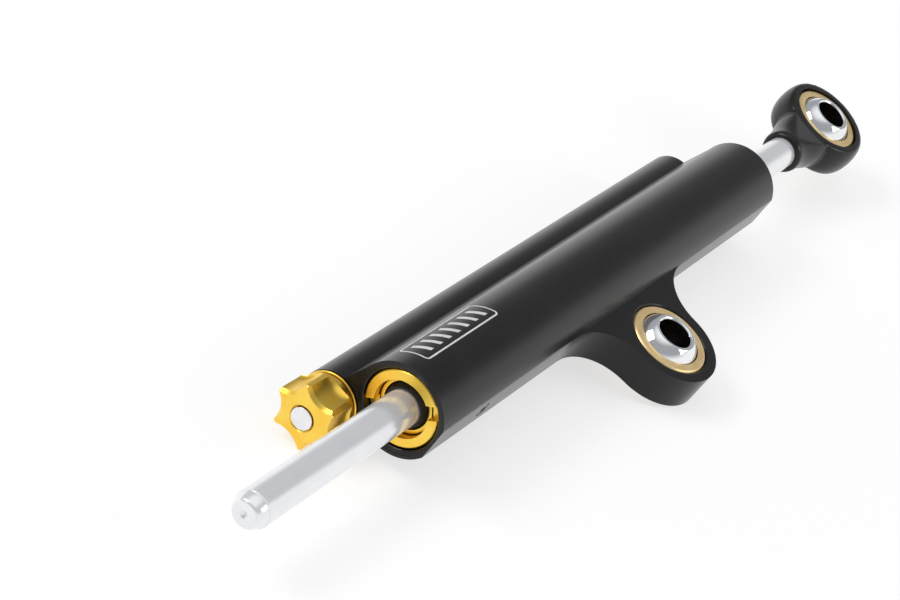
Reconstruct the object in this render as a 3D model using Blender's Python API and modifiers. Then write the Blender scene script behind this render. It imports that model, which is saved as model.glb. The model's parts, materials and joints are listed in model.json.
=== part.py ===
"""Linear steering damper for a motorcycle, as an assembly of separate pieces.

The damper is a machined body with a through rod, sealed at both ends, a lug
with a spherical bearing, a rod end with a second one, and a smaller parallel
tube that holds the damping adjuster and the oil reservoir.

Every piece is modelled in the damper's own axes, in metres: X runs along the
rod from the adjuster end of the body towards the rod end, the lug points to
-Y, and Z is the axis of the lug bearing.  The damper then lies on a table on
its adjuster knob and the tip of its lug: the empty "lying" turns it about X
and lifts it, so world Z = 0 is the table top.
"""

import math

import bmesh
import bpy
from mathutils import Matrix, Vector

MM = 0.001
GAP = 0.3 * MM
SEAL_GAP = 0.15 * MM
ROUND = 32
INNER_ROUND = 20
SIDE_ROUND = 20
SMALL_ROUND = 16
MERGE = 0.00001

# Body
TUBE_RADIUS = 13.0 * MM
TUBE_LENGTH = 190.7 * MM
BORE_RADIUS = 9.4 * MM
COUNTERBORE_RADIUS = 10.9 * MM
COUNTERBORE_DEPTH = 42.0 * MM
FACET_HALF_HEIGHT = 5.13 * MM
WEB_ANGLE = math.radians(20.0)
MAIN_ARC_STEPS = 15
STRIP_ARC_STEPS = 6

# Reservoir tube, parallel to the main one
SIDE_RADIUS = 8.3 * MM
SIDE_Y = 15.1 * MM
SIDE_Z = -13.8 * MM
SIDE_LENGTH = 187.9 * MM
SIDE_BORE_RADIUS = 6.5 * MM
SIDE_CREASE_ANGLE = math.radians(85.7)
PASSAGE_RADIUS = 1.2 * MM
PASSAGE_PLACES = (54.0 * MM, 138.0 * MM)

# Lug and its bearing
LUG_X = 98.7 * MM
LUG_Y = -27.1 * MM
LUG_TIP_RADIUS = 15.0 * MM
LUG_HALF_THICKNESS = 5.3 * MM
BLEED_X = 24.0 * MM

# Spherical bearings, the same size in the lug and in the rod end
RACE_RADIUS = 11.6 * MM
RACE_HALF_WIDTH = 5.3 * MM
BALL_RADIUS = 10.1 * MM
BALL_HALF_WIDTH = 8.0 * MM
BALL_BORE_RADIUS = 4.95 * MM
LINER_THICKNESS = 0.35 * MM
LINER_HALF_WIDTH = 4.1 * MM

# Rod
ROD_RADIUS = 5.0 * MM
ROD_STUB = 64.9 * MM
ROD_TIP_CHAMFER = 2.2 * MM
ROD_END_X = 252.4 * MM
ROD_THREAD_END = 236.6 * MM
ROD_TURN_OF_HEAD = math.radians(4.9)
NECK_X = 224.2 * MM
NECK_RADIUS = 6.8 * MM
HEAD_RADIUS = 15.5 * MM
HEAD_FACE_RADIUS = 13.7 * MM
HEAD_HALF_THICKNESS = 6.0 * MM

# Piston, at its place with the rod as it lies
PISTON_START = 77.0 * MM
PISTON_LENGTH = 17.0 * MM
PISTON_RADIUS = 8.8 * MM
BAND_WIDTH = 7.0 * MM
CLIP_WIDTH = 1.2 * MM
CLIP_GROOVE_RADIUS = 4.2 * MM

# Glands, the same at both ends of the body
END_RING_INSET = 0.65 * MM
END_RING_RADIUS = 10.6 * MM
END_RING_BORE = 7.8 * MM
END_RING_LENGTH = 6.0 * MM
END_RING_SLOT = 3.7 * MM
END_RING_SLOT_DEPTH = 2.8 * MM
END_RING_SLOT_ANGLE = math.radians(138.0)
GLAND_FACE = 3.3 * MM
GLAND_END = 41.6 * MM

# Adjuster
KNOB_BACK = -1.1 * MM
KNOB_FLANGE_FRONT = -2.9 * MM
KNOB_FRONT = -12.8 * MM
KNOB_RADIUS = 9.2 * MM
KNOB_FLANGE_RADIUS = 7.9 * MM
KNOB_FLUTES = 6
KNOB_FLUTE_TURN = math.radians(35.0)
KNOB_FLUTE_RADIUS = 7.0 * MM
KNOB_FLUTE_BOTTOM = 7.1 * MM
KNOB_FLUTE_CHAMFER = 0.7 * MM
KNOB_FLUTE_RUN_OUT = 2.0 * MM
GRUB_PLACE = -5.0 * MM
KNOB_CAP_RADIUS = 3.1 * MM
NEEDLE_PLACE = 21.0 * MM

# Lying pose
LIE_MIDDLE = Vector(((ROD_END_X + HEAD_RADIUS - ROD_STUB) / 2, -7.1525 * MM))

COLOURS = {
    "black_anodised": ((0.030, 0.029, 0.030), 0.42, 0.85),
    "gold_anodised": ((0.80, 0.50, 0.07), 0.28, 1.0),
    "hard_chrome": ((0.78, 0.79, 0.81), 0.12, 1.0),
    "bronze": ((0.72, 0.52, 0.24), 0.35, 1.0),
    "bright_steel": ((0.62, 0.62, 0.63), 0.30, 1.0),
    "satin_aluminium": ((0.80, 0.80, 0.81), 0.40, 1.0),
    "nitrile_rubber": ((0.02, 0.02, 0.02), 0.75, 0.0),
    "filled_ptfe": ((0.05, 0.045, 0.04), 0.60, 0.0),
    "bush_composite": ((0.35, 0.28, 0.20), 0.55, 0.2),
    "spring_steel": ((0.30, 0.30, 0.32), 0.35, 1.0),
}


# ---------------------------------------------------------------- scene set-up

def clear_scene():
    """Remove whatever the scene holds."""
    for item in list(bpy.data.objects):
        bpy.data.objects.remove(item, do_unlink=True)


def new_collection(name):
    """Make a collection under the scene."""
    group = bpy.data.collections.new(name)
    bpy.context.scene.collection.children.link(group)
    return group


def make_materials():
    """One Principled material for each finish."""
    made = {}
    for name, (colour, roughness, metallic) in COLOURS.items():
        material = bpy.data.materials.new(name)
        material.use_nodes = True
        shader = material.node_tree.nodes["Principled BSDF"]
        shader.inputs["Base Color"].default_value = (*colour, 1.0)
        shader.inputs["Roughness"].default_value = roughness
        shader.inputs["Metallic"].default_value = metallic
        made[name] = material
    return made


clear_scene()
PARTS = new_collection("steering_damper")
CUTTERS = new_collection("cutters")
FINISHES = make_materials()

LYING = bpy.data.objects.new("lying", None)
PARTS.objects.link(LYING)


# ------------------------------------------------------------- shape helpers

def polar(radius, angle, centre=(0.0, 0.0)):
    """Point on a circle, as (a, b)."""
    return (centre[0] + radius * math.cos(angle), centre[1] + radius * math.sin(angle))


def arc(radius, start, end, steps, centre=(0.0, 0.0)):
    """Points along an arc, both ends included."""
    return [polar(radius, start + (end - start) * i / steps, centre) for i in range(steps + 1)]


def add_part(name, mesh, finish, parent=LYING):
    """Link a mesh as a named piece of the damper."""
    piece = bpy.data.objects.new(name, mesh)
    PARTS.objects.link(piece)
    piece.parent = parent
    mesh.materials.clear()
    mesh.materials.append(FINISHES[finish])
    mesh.shade_smooth()
    mesh.set_sharp_from_angle(angle=math.radians(35.0))
    return piece


def screw(piece, segments):
    """Turn a profile in the XZ plane about the local Z axis."""
    turn = piece.modifiers.new("turn", "SCREW")
    turn.axis = "Z"
    turn.angle = math.tau
    turn.steps = segments
    turn.render_steps = segments
    turn.use_merge_vertices = True
    turn.merge_threshold = MERGE
    turn.use_smooth_shade = True


def profile_mesh(name, points, closed):
    """Mesh of a turned profile: points are (radius, height), top to bottom."""
    mesh = bpy.data.meshes.new(name)
    shape = bmesh.new()
    verts = [shape.verts.new((radius, 0.0, height)) for radius, height in points]
    for first, second in zip(verts, verts[1:]):
        shape.edges.new((first, second))
    if closed:
        shape.edges.new((verts[-1], verts[0]))
    shape.to_mesh(mesh)
    shape.free()
    return mesh


def along_x(start=0.0, y=0.0, z=0.0):
    """Place a turned piece with its local Z along the damper's X."""
    return Matrix.Translation((start, y, z)) @ Matrix.Rotation(math.pi / 2, 4, "Y")


def ring_profile(outer, inner):
    """Closed profile from an outer line and an inner line, both low to high.

    Each line is a list of (place along the axis, radius).
    """
    points = [(radius, place) for place, radius in reversed(outer)]
    points += [(radius, place) for place, radius in inner]
    return points


def solid_profile(line):
    """Open profile from the axis and back to it; line is (place, radius)."""
    points = [(radius, place) for place, radius in reversed(line)]
    return [(0.0, line[-1][0])] + points + [(0.0, line[0][0])]


def turned(name, points, finish, place, closed=True, segments=ROUND, parent=LYING):
    """A turned piece of the damper."""
    piece = add_part(name, profile_mesh(name, points, closed), finish, parent)
    piece.matrix_local = place
    screw(piece, segments)
    return piece


def o_ring(name, place, radius, wire, axis=None, segments=SIDE_ROUND):
    """A rubber ring of round section about an axis of the damper."""
    sides = 6
    points = [(radius + wire * math.sin(a), place + wire * math.cos(a))
              for a in (math.tau * i / sides for i in range(sides))]
    return turned(name, points, "nitrile_rubber", axis or side_x(), segments=segments)


def as_cutter(piece):
    """Move a piece to the cutters."""
    for group in list(piece.users_collection):
        group.objects.unlink(piece)
    CUTTERS.objects.link(piece)
    piece.hide_render = True
    piece.display_type = "WIRE"
    return piece


def boolean(target, tool, operation):
    """Cut or join with the exact solver, keeping the modifier."""
    step = target.modifiers.new(tool.name, "BOOLEAN")
    step.operation = operation
    step.solver = "EXACT"
    step.object = tool


def turned_cutter(name, points, place, closed=False, segments=ROUND, parent=LYING):
    """A turned cutting tool."""
    mesh = profile_mesh(name, points, closed)
    tool = bpy.data.objects.new(name, mesh)
    CUTTERS.objects.link(tool)
    tool.parent = parent
    tool.matrix_local = place
    screw(tool, segments)
    return as_cutter(tool)


def rod_cutter(name, radius, start, end, place, segments=ROUND, parent=LYING):
    """A plain round drill from start to end along the local Z."""
    return turned_cutter(name, solid_profile([(start, radius), (end, radius)]), place,
                         segments=segments, parent=parent)


def box_cutter(name, size, place, parent=LYING):
    """A box-shaped cutting tool."""
    mesh = bpy.data.meshes.new(name)
    shape = bmesh.new()
    bmesh.ops.create_cube(shape, size=1.0)
    bmesh.ops.scale(shape, vec=size, verts=shape.verts)
    shape.to_mesh(mesh)
    shape.free()
    tool = bpy.data.objects.new(name, mesh)
    CUTTERS.objects.link(tool)
    tool.parent = parent
    tool.matrix_local = place
    return as_cutter(tool)


def extruded(name, outline, half, matrix):
    """Mesh of a flat outline thickened both ways along the local Z."""
    curve = bpy.data.curves.new(name, "CURVE")
    curve.dimensions = "2D"
    curve.fill_mode = "BOTH"
    curve.extrude = half
    line = curve.splines.new("POLY")
    line.points.add(len(outline) - 1)
    for point, (a, b) in zip(line.points, outline):
        point.co = (a, b, 0.0, 1.0)
    line.use_cyclic_u = True
    guide = bpy.data.objects.new(name, curve)
    CUTTERS.objects.link(guide)
    bpy.context.view_layer.update()
    mesh = bpy.data.meshes.new_from_object(guide.evaluated_get(bpy.context.evaluated_depsgraph_get()))
    bpy.data.objects.remove(guide)
    shape = bmesh.new()
    shape.from_mesh(mesh)
    bmesh.ops.remove_doubles(shape, verts=shape.verts, dist=MERGE)
    bmesh.ops.transform(shape, matrix=matrix, verts=shape.verts)
    bmesh.ops.recalc_face_normals(shape, faces=shape.faces)
    shape.to_mesh(mesh)
    shape.free()
    return mesh


# ----------------------------------------------------------------------- body

def body_section():
    """Outline of the body across X, as (y, z): two tubes and the web."""
    middle = math.atan2(SIDE_Z, SIDE_Y)
    facet = math.asin(FACET_HALF_HEIGHT / TUBE_RADIUS)
    side = (SIDE_Y, SIDE_Z)
    web_low = 2.0 * middle - WEB_ANGLE
    back = math.pi + middle
    crease_low = 2.0 * back - SIDE_CREASE_ANGLE
    outline = arc(TUBE_RADIUS, WEB_ANGLE, math.pi - facet, MAIN_ARC_STEPS)
    outline += arc(TUBE_RADIUS, math.pi + facet, math.tau + web_low, STRIP_ARC_STEPS)
    outline += arc(SIDE_RADIUS, crease_low, math.tau + SIDE_CREASE_ANGLE, 22, side)
    return outline


def lug_outline():
    """Outline of the lug in the XY plane, from the body's flat strip out."""
    strip = -math.sqrt(TUBE_RADIUS ** 2 - FACET_HALF_HEIGHT ** 2)
    fillet = strip - LUG_Y
    reach = LUG_TIP_RADIUS + fillet
    outline = arc(fillet, math.pi / 2, 0.0, 7, (LUG_X - reach, LUG_Y))
    outline += arc(LUG_TIP_RADIUS, math.pi, math.tau, 18, (LUG_X, LUG_Y))
    outline += arc(fillet, math.pi, math.pi / 2, 7, (LUG_X + reach, LUG_Y))
    outline += [(LUG_X + reach, strip + 2.0 * MM), (LUG_X - reach, strip + 2.0 * MM)]
    return outline


def bore_line():
    """Half profile of the main bore with its counterbores, as (place, radius)."""
    past = 2.0 * MM
    mouth = COUNTERBORE_RADIUS + 0.7 * MM
    return [(-past, mouth + past), (0.0, mouth), (0.7 * MM, COUNTERBORE_RADIUS),
            (COUNTERBORE_DEPTH, COUNTERBORE_RADIUS), (COUNTERBORE_DEPTH, BORE_RADIUS),
            (TUBE_LENGTH - COUNTERBORE_DEPTH, BORE_RADIUS),
            (TUBE_LENGTH - COUNTERBORE_DEPTH, COUNTERBORE_RADIUS),
            (TUBE_LENGTH - 0.7 * MM, COUNTERBORE_RADIUS), (TUBE_LENGTH, mouth),
            (TUBE_LENGTH + past, mouth + past)]


def build_body():
    """The machined body: both tubes, the web, the strip and the lug."""
    section = extruded("body", body_section(), SIDE_LENGTH / 2,
                       Matrix.Translation((SIDE_LENGTH / 2, 0.0, 0.0))
                       @ Matrix(((0, 0, 1, 0), (1, 0, 0, 0), (0, 1, 0, 0), (0, 0, 0, 1))))
    body = add_part("body", section, "black_anodised")

    nose = body_section()[:MAIN_ARC_STEPS + STRIP_ARC_STEPS + 2]
    web_low = 2.0 * math.atan2(SIDE_Z, SIDE_Y) - WEB_ANGLE
    nose += arc(TUBE_RADIUS, web_low, WEB_ANGLE, 14)[1:-1]
    extra = TUBE_LENGTH - SIDE_LENGTH + 4.0 * MM
    nose_mesh = extruded("far_nose", nose, extra / 2,
                         Matrix.Translation((TUBE_LENGTH - extra / 2, 0.0, 0.0))
                         @ Matrix(((0, 0, 1, 0), (1, 0, 0, 0), (0, 1, 0, 0), (0, 0, 0, 1))))
    nose_piece = as_cutter(add_part("far_nose", nose_mesh, "black_anodised"))
    boolean(body, nose_piece, "UNION")

    lug_mesh = extruded("lug_plate", lug_outline(), LUG_HALF_THICKNESS, Matrix.Identity(4))
    lug_piece = as_cutter(add_part("lug_plate", lug_mesh, "black_anodised"))
    boolean(body, lug_piece, "UNION")

    bore = turned_cutter("main_bore", solid_profile(bore_line()), along_x())
    boolean(body, bore, "DIFFERENCE")
    side_bore = rod_cutter("side_bore", SIDE_BORE_RADIUS, -2.0 * MM, SIDE_LENGTH + 2.0 * MM,
                           along_x(0.0, SIDE_Y, SIDE_Z), segments=SIDE_ROUND)
    boolean(body, side_bore, "DIFFERENCE")
    race_hole = rod_cutter("race_hole", RACE_RADIUS + GAP, -10.0 * MM, 10.0 * MM,
                           Matrix.Translation((LUG_X, LUG_Y, 0.0)))
    boolean(body, race_hole, "DIFFERENCE")

    lean = math.atan2(SIDE_Z, SIDE_Y)
    for index, place in enumerate(PASSAGE_PLACES):
        drill = rod_cutter("passage_%d" % index, PASSAGE_RADIUS, 7.0 * MM, 16.0 * MM,
                           Matrix.Translation((place, 0.0, 0.0))
                           @ Matrix.Rotation(lean - math.pi / 2, 4, "X"), segments=10)
        boolean(body, drill, "DIFFERENCE")

    strip = -math.sqrt(TUBE_RADIUS ** 2 - FACET_HALF_HEIGHT ** 2)
    pocket = rod_cutter("bleed_pocket", 2.3 * MM, -1.0 * MM, 1.0 * MM,
                        Matrix.Translation((BLEED_X, strip, 0.0))
                        @ Matrix.Rotation(math.pi / 2, 4, "X"), segments=20)
    boolean(body, pocket, "DIFFERENCE")
    return body


def build_bleed_screw():
    """The shallow plug screw in the body's flat strip."""
    strip = -math.sqrt(TUBE_RADIUS ** 2 - FACET_HALF_HEIGHT ** 2)
    line = [(-0.65 * MM, 2.0 * MM), (-0.15 * MM, 2.0 * MM), (-0.05 * MM, 1.8 * MM)]
    place = Matrix.Translation((BLEED_X, strip, 0.0)) @ Matrix.Rotation(math.pi / 2, 4, "X")
    screw_head = turned("bleed_screw", solid_profile(line), "black_anodised", place,
                        closed=False, segments=SMALL_ROUND)
    socket = rod_cutter("bleed_socket", 1.0 * MM, -0.4 * MM, 1.0 * MM, place, segments=6)
    boolean(screw_head, socket, "DIFFERENCE")


# --------------------------------------------------------------------- bearings

def sphere_line(radius, half, steps):
    """Points (height, radius) along a sphere between -half and +half."""
    limit = math.asin(half / radius)
    return [(radius * math.sin(a), radius * math.cos(a))
            for a in (-limit + 2.0 * limit * i / steps for i in range(steps + 1))]


def build_bearing(prefix, place, parent=LYING):
    """Race, liner and ball of one spherical bearing."""
    liner_outer = BALL_RADIUS + SEAL_GAP + LINER_THICKNESS
    groove = liner_outer + SEAL_GAP
    lip = BALL_RADIUS + GAP
    lip_from = LINER_HALF_WIDTH + GAP
    chamfer = 0.4 * MM
    outer = [(-RACE_HALF_WIDTH, RACE_RADIUS - chamfer), (-RACE_HALF_WIDTH + chamfer, RACE_RADIUS),
             (RACE_HALF_WIDTH - chamfer, RACE_RADIUS), (RACE_HALF_WIDTH, RACE_RADIUS - chamfer)]
    lip_line = [(lip_from, math.sqrt(lip ** 2 - lip_from ** 2)),
                (RACE_HALF_WIDTH, math.sqrt(lip ** 2 - RACE_HALF_WIDTH ** 2))]
    inner = [(-h, r) for h, r in reversed(lip_line)]
    inner += sphere_line(groove, lip_from, 4)
    inner += lip_line
    turned(prefix + "_race", ring_profile(outer, inner), "bronze", place, parent=parent)

    liner = ring_profile(sphere_line(liner_outer, LINER_HALF_WIDTH, 4),
                         sphere_line(BALL_RADIUS + SEAL_GAP, LINER_HALF_WIDTH, 4))
    turned(prefix + "_liner", liner, "filled_ptfe", place, parent=parent)

    edge = 0.35 * MM
    bore = [(-BALL_HALF_WIDTH, BALL_BORE_RADIUS + edge), (-BALL_HALF_WIDTH + edge, BALL_BORE_RADIUS),
            (BALL_HALF_WIDTH - edge, BALL_BORE_RADIUS), (BALL_HALF_WIDTH, BALL_BORE_RADIUS + edge)]
    ball = ring_profile(sphere_line(BALL_RADIUS, BALL_HALF_WIDTH, 10), bore)
    turned(prefix + "_ball", ball, "hard_chrome", place, parent=parent)


# ------------------------------------------------------------ ends of the body

def mirrored(line, far):
    """Swap a line end for end at the far end of the body."""
    if not far:
        return line
    return [(TUBE_LENGTH - place, radius) for place, radius in reversed(line)]


def build_end(prefix, far):
    """End ring, gland, wiper, rod seal, rod bush, O-ring and bump ring."""
    def ring(name, outer, inner, finish, segments=ROUND):
        profile = ring_profile(mirrored(outer, far), mirrored(inner, far))
        return turned(prefix + name, profile, finish, along_x(), segments=segments)

    start = END_RING_INSET
    stop = start + END_RING_LENGTH
    edge = 0.35 * MM
    end_ring = ring("_end_ring",
                    [(start, END_RING_RADIUS - edge), (start + edge, END_RING_RADIUS),
                     (stop, END_RING_RADIUS)],
                    [(start, END_RING_BORE), (stop, END_RING_BORE)], "gold_anodised")
    middle = (start + END_RING_SLOT_DEPTH / 2 - 0.5 * MM) if not far else (
        TUBE_LENGTH - start - END_RING_SLOT_DEPTH / 2 + 0.5 * MM)
    slot = box_cutter(prefix + "_slots",
                      (END_RING_SLOT_DEPTH + 1.0 * MM, END_RING_SLOT, 3.0 * TUBE_RADIUS),
                      Matrix.Translation((middle, 0.0, 0.0))
                      @ Matrix.Rotation(END_RING_SLOT_ANGLE - math.pi / 2, 4, "X"))
    boolean(end_ring, slot, "DIFFERENCE")

    hub = END_RING_BORE - GAP
    free = ROD_RADIUS + GAP
    ring("_gland",
         [(GLAND_FACE, hub), (stop + GAP, hub), (stop + GAP, END_RING_RADIUS),
          (27.0 * MM, END_RING_RADIUS), (27.0 * MM, 9.2 * MM), (29.4 * MM, 9.2 * MM),
          (29.4 * MM, END_RING_RADIUS), (GLAND_END, END_RING_RADIUS)],
         [(GLAND_FACE, 6.5 * MM), (8.0 * MM, 6.5 * MM), (8.0 * MM, free), (12.0 * MM, free),
          (12.0 * MM, 8.0 * MM), (16.0 * MM, 8.0 * MM), (16.0 * MM, free), (20.0 * MM, free),
          (20.0 * MM, 6.8 * MM), (GLAND_END, 6.8 * MM)], "gold_anodised", INNER_ROUND)
    touch = ROD_RADIUS + SEAL_GAP
    ring("_wiper",
         [(1.4 * MM, touch + 0.25 * MM), (3.6 * MM, 6.2 * MM), (7.7 * MM, 6.2 * MM)],
         [(1.4 * MM, touch), (3.0 * MM, touch + 0.1 * MM), (7.7 * MM, touch)], "nitrile_rubber")
    ring("_rod_seal", [(12.3 * MM, 7.7 * MM), (15.7 * MM, 7.7 * MM)],
         [(12.3 * MM, touch), (15.0 * MM, touch), (15.7 * MM, touch + 0.6 * MM)],
         "nitrile_rubber", INNER_ROUND)
    ring("_rod_bush", [(20.3 * MM, 6.5 * MM), (GLAND_END, 6.5 * MM)],
         [(20.3 * MM, touch), (GLAND_END, touch)], "bush_composite", INNER_ROUND)
    middle_place = TUBE_LENGTH - 28.2 * MM if far else 28.2 * MM
    o_ring(prefix + "_gland_o_ring", middle_place, 9.98 * MM, 0.7 * MM, along_x())
    ring("_bump_ring", [(42.3 * MM, 9.1 * MM), (45.6 * MM, 9.1 * MM), (46.2 * MM, 8.5 * MM)],
         [(42.3 * MM, 5.6 * MM), (46.2 * MM, 5.6 * MM)], "nitrile_rubber", INNER_ROUND)


# ------------------------------------------------------------------ moving rod

def build_rod_group():
    """Through rod, piston with its band and clips, and the rod end."""
    tip = -ROD_STUB
    nose = 3.4 * MM
    groove = CLIP_GROOVE_RADIUS
    piston_end = PISTON_START + PISTON_LENGTH
    near_groove = (PISTON_START - GAP - CLIP_WIDTH - 0.2 * MM, PISTON_START - GAP + 0.2 * MM)
    far_groove = (piston_end + GAP - 0.2 * MM, piston_end + GAP + CLIP_WIDTH + 0.2 * MM)
    line = [(tip, ROD_RADIUS - 1.6 * MM), (tip + 0.6 * MM, ROD_RADIUS - 1.15 * MM),
            (tip + ROD_TIP_CHAMFER, ROD_RADIUS - 0.35 * MM), (tip + nose, ROD_RADIUS - 0.25 * MM),
            (tip + nose, ROD_RADIUS)]
    for low, high in (near_groove, far_groove):
        line += [(low, ROD_RADIUS), (low, groove), (high, groove), (high, ROD_RADIUS)]
    line += [(ROD_THREAD_END - 1.0 * MM, ROD_RADIUS), (ROD_THREAD_END, ROD_RADIUS - 1.0 * MM)]
    turned("piston_rod", solid_profile(line), "hard_chrome", along_x(), closed=False)

    band_start = PISTON_START + (PISTON_LENGTH - BAND_WIDTH) / 2
    band_end = band_start + BAND_WIDTH
    edge = 0.5 * MM
    outer = [(PISTON_START, PISTON_RADIUS - edge), (PISTON_START + edge, PISTON_RADIUS),
             (band_start - GAP, PISTON_RADIUS), (band_start - GAP, PISTON_RADIUS - 0.8 * MM),
             (band_end + GAP, PISTON_RADIUS - 0.8 * MM), (band_end + GAP, PISTON_RADIUS),
             (piston_end - edge, PISTON_RADIUS), (piston_end, PISTON_RADIUS - edge)]
    free = ROD_RADIUS + SEAL_GAP
    turned("piston", ring_profile(outer, [(PISTON_START, free), (piston_end, free)]),
           "satin_aluminium", along_x(), segments=INNER_ROUND)
    band_outer = BORE_RADIUS - 0.1 * MM
    band_inner = PISTON_RADIUS - 0.8 * MM + GAP
    turned("piston_band", ring_profile([(band_start, band_outer), (band_end, band_outer)],
                                       [(band_start, band_inner), (band_end, band_inner)]),
           "filled_ptfe", along_x(), segments=INNER_ROUND)
    for name, low in (("near_piston_clip", PISTON_START - GAP - CLIP_WIDTH),
                      ("far_piston_clip", piston_end + GAP)):
        turned(name, ring_profile([(low, 6.6 * MM), (low + CLIP_WIDTH, 6.6 * MM)],
                                  [(low, groove + 0.15 * MM), (low + CLIP_WIDTH, groove + 0.15 * MM)]),
               "spring_steel", along_x(), segments=SIDE_ROUND)


def head_line():
    """Barrel of the rod end, as (height, radius) from one face to the other."""
    shoulder = HEAD_HALF_THICKNESS - 1.5 * MM
    upper = [(0.0, HEAD_RADIUS), (2.6 * MM, HEAD_RADIUS - 0.25 * MM), (shoulder, HEAD_RADIUS - 0.8 * MM),
             (shoulder + 0.9 * MM, HEAD_RADIUS - 1.3 * MM), (HEAD_HALF_THICKNESS, HEAD_FACE_RADIUS)]
    return [(-h, r) for h, r in reversed(upper[1:])] + upper


def build_rod_end():
    """Rod end: neck and barrel head, with its own spherical bearing."""
    seat = bpy.data.objects.new("rod_end_seat", None)
    PARTS.objects.link(seat)
    seat.parent = LYING
    seat.matrix_local = (Matrix.Translation((ROD_END_X, 0.0, 0.0))
                         @ Matrix.Rotation(ROD_TURN_OF_HEAD, 4, "X"))
    head = turned("rod_end_head", solid_profile(head_line()), "black_anodised", Matrix.Identity(4),
                  closed=False, parent=seat)
    neck_line = [(NECK_X, NECK_RADIUS - 1.0 * MM), (NECK_X + 0.4 * MM, NECK_RADIUS - 0.3 * MM),
                 (NECK_X + 1.2 * MM, NECK_RADIUS), (ROD_END_X - 14.2 * MM, NECK_RADIUS),
                 (ROD_END_X - 13.0 * MM, NECK_RADIUS - 1.2 * MM),
                 (ROD_END_X - 10.8 * MM, NECK_RADIUS - 2.0 * MM)]
    neck = turned_cutter("neck", solid_profile(neck_line), along_x(), segments=ROUND)
    boolean(head, neck, "UNION")
    hole = rod_cutter("rod_end_race_hole", RACE_RADIUS + GAP, -10.0 * MM, 10.0 * MM,
                      Matrix.Identity(4), parent=seat)
    boolean(head, hole, "DIFFERENCE")
    socket = rod_cutter("rod_socket", ROD_RADIUS + GAP, NECK_X - 2.0 * MM, ROD_THREAD_END + GAP, along_x())
    boolean(head, socket, "DIFFERENCE")
    build_bearing("rod_end", Matrix.Identity(4), parent=seat)


# ------------------------------------------------------------------- adjuster

def side_x(start=0.0):
    """Placing along the reservoir tube's axis."""
    return along_x(start, SIDE_Y, SIDE_Z)


def build_knob():
    """Fluted knob with its cap and grub screw."""
    face_rise = 0.9 * MM
    outer = [(KNOB_FRONT + 0.2 * MM, KNOB_CAP_RADIUS + GAP + 0.8 * MM),
             (KNOB_FRONT + face_rise, KNOB_RADIUS - 1.0 * MM),
             (KNOB_FRONT + face_rise + 0.8 * MM, KNOB_RADIUS - 0.2 * MM),
             (KNOB_FRONT + face_rise + 1.4 * MM, KNOB_RADIUS),
             (KNOB_FLANGE_FRONT - 0.3 * MM, KNOB_RADIUS - 0.1 * MM),
             (KNOB_FLANGE_FRONT, KNOB_FLANGE_RADIUS), (KNOB_BACK - 0.2 * MM, KNOB_FLANGE_RADIUS),
             (KNOB_BACK, KNOB_FLANGE_RADIUS - 0.2 * MM)]
    shaft = 2.5 * MM + GAP
    inner = [(KNOB_FRONT + 0.2 * MM, KNOB_CAP_RADIUS + GAP), (KNOB_FRONT + 1.9 * MM, KNOB_CAP_RADIUS + GAP),
             (KNOB_FRONT + 1.9 * MM, shaft), (KNOB_BACK, shaft)]
    knob = turned("adjuster_knob", ring_profile(outer, inner), "gold_anodised", side_x())
    ahead = 2.0 * MM
    past = 0.6 * MM
    rise = KNOB_FLANGE_RADIUS - KNOB_FLUTE_BOTTOM
    scoop_line = [(KNOB_FRONT - ahead, KNOB_FLUTE_RADIUS + KNOB_FLUTE_CHAMFER + ahead),
                  (KNOB_FRONT + KNOB_FLUTE_CHAMFER, KNOB_FLUTE_RADIUS),
                  (KNOB_FLANGE_FRONT - KNOB_FLUTE_RUN_OUT, KNOB_FLUTE_RADIUS),
                  (KNOB_FLANGE_FRONT + past,
                   KNOB_FLUTE_RADIUS - rise * (KNOB_FLUTE_RUN_OUT + past) / KNOB_FLUTE_RUN_OUT)]
    for index in range(KNOB_FLUTES):
        angle = math.tau * index / KNOB_FLUTES + KNOB_FLUTE_TURN
        a, b = polar(KNOB_FLUTE_BOTTOM + KNOB_FLUTE_RADIUS, angle)
        scoop = turned_cutter("flute_%d" % index, solid_profile(scoop_line),
                              side_x() @ Matrix.Translation((-b, a, 0.0)), segments=40)
        boolean(knob, scoop, "DIFFERENCE")
    grub_angle = KNOB_FLUTE_TURN + 2.0 * math.tau / KNOB_FLUTES
    grub_place = (Matrix.Translation((GRUB_PLACE, SIDE_Y, SIDE_Z))
                  @ Matrix.Rotation(grub_angle + math.pi / 2, 4, "X"))
    bore = rod_cutter("grub_bore", 1.3 * MM, 2.0 * MM, 12.0 * MM, grub_place, segments=16)
    boolean(knob, bore, "DIFFERENCE")
    grub = turned("knob_grub_screw", solid_profile([(2.9 * MM, 1.0 * MM), (5.6 * MM, 1.0 * MM)]),
                  "bright_steel", grub_place, closed=False, segments=16)
    socket = rod_cutter("grub_socket", 0.55 * MM, 4.4 * MM, 7.0 * MM, grub_place, segments=6)
    boolean(grub, socket, "DIFFERENCE")
    turned("knob_cap", solid_profile([(KNOB_FRONT, KNOB_CAP_RADIUS - 0.15 * MM),
                                      (KNOB_FRONT + 0.15 * MM, KNOB_CAP_RADIUS),
                                      (KNOB_FRONT + 1.6 * MM, KNOB_CAP_RADIUS)]),
           "satin_aluminium", side_x(), closed=False, segments=SIDE_ROUND)


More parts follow.
